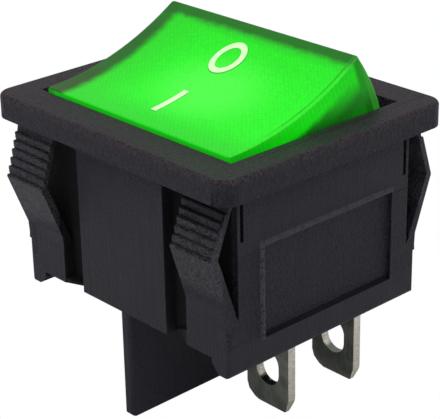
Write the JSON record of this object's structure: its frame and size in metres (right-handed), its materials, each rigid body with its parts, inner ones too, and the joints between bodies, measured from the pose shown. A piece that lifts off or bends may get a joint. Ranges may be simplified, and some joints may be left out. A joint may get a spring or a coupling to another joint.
{
  "type": "panel rocker switch",
  "caption": "Square snap-in panel rocker switch with a dished green translucent rocker, a black ribbed-latch housing, a barrier between the poles and flat push-on tabs below.",
  "frame": {"origin": "centre of the panel cut-out, in the plane of the panel's front face and the bezel's underside", "axes": "+Z out of the panel towards the user, X along the rocker's pivot, +Y towards the rocker's raised O side"},
  "size_m": [0.027, 0.024, 0.03],
  "materials": {
    "housing": "black moulded polyamide, fine spark-eroded grain",
    "lens": "translucent green polycarbonate, satin gloss, lit from inside",
    "carrier": "black moulded polyamide",
    "reflector": "white moulded plastic",
    "marks": "pad-printed pale ink",
    "lamp_glass": "clear glass",
    "wire": "tinned wire",
    "resistor": "lacquered ceramic",
    "pad_metal": "stamped brass",
    "spring_steel": "bright spring wire",
    "plunger": "natural polyamide",
    "blade_metal": "stamped copper alloy",
    "contact_silver": "silver alloy",
    "tab_metal": "silver-plated brass, lightly dulled"
  },
  "bodies": {
    "housing": {"housing": "housing", "lamp_spring_a": "spring_steel", "lamp_spring_b": "spring_steel", "common_tab_a": "tab_metal", "common_tab_b": "tab_metal", "load_tab_a": "tab_metal", "load_tab_b": "tab_metal", "fixed_contact_a": "contact_silver", "fixed_contact_b": "contact_silver"},
    "rocker": {"rocker_lens": "lens", "rocker_frame": "carrier", "lamp_reflector": "reflector", "mark_on": "marks", "mark_off": "marks", "lamp_glass": "lamp_glass", "lamp_electrode_a": "wire", "lamp_electrode_b": "wire", "lamp_resistor": "resistor", "lamp_wire_a": "wire", "lamp_wire_b": "wire", "lamp_wire_c": "wire", "lamp_pad_a": "pad_metal", "lamp_pad_b": "pad_metal", "plunger_spring_a": "spring_steel", "plunger_spring_b": "spring_steel"},
    "plunger_a": {"plunger_a": "plunger"},
    "plunger_b": {"plunger_b": "plunger"},
    "blade_a": {"blade_a": "blade_metal", "moving_contact_a": "contact_silver"},
    "blade_b": {"blade_b": "blade_metal", "moving_contact_b": "contact_silver"}
  },
  "joints": [
    {"name": "rocker_tilt", "type": "hinge", "parent": "housing", "child": "rocker", "pos_m": [0, 0, -0.0015], "axis": [1, 0, 0], "range_deg": [-35, 0], "deforming": ["lamp_spring_a", "lamp_spring_b"]},
    {"name": "blade_a_tilt", "type": "hinge", "parent": "housing", "child": "blade_a", "pos_m": [0.0059, 0, -0.0095], "axis": [1, 0, 0], "range_deg": [0, 12]},
    {"name": "blade_b_tilt", "type": "hinge", "parent": "housing", "child": "blade_b", "pos_m": [-0.0059, 0, -0.0095], "axis": [1, 0, 0], "range_deg": [0, 12]},
    {"name": "plunger_a_slide", "type": "slide", "parent": "rocker", "child": "plunger_a", "axis": [0, -0.3007, 0.9537], "range_m": [0, 0.0008], "stiffness_N_per_m": 200, "springref_m": -0.001, "deforming": ["plunger_spring_a"]},
    {"name": "plunger_b_slide", "type": "slide", "parent": "rocker", "child": "plunger_b", "axis": [0, -0.3007, 0.9537], "range_m": [0, 0.0008], "stiffness_N_per_m": 200, "springref_m": -0.001, "deforming": ["plunger_spring_b"]}
  ],
  "couplings": [
    {"joint": "blade_a_tilt", "follows": "rocker_tilt", "ratio": -0.34285},
    {"joint": "blade_b_tilt", "follows": "rocker_tilt", "ratio": -0.34285}
  ]
}
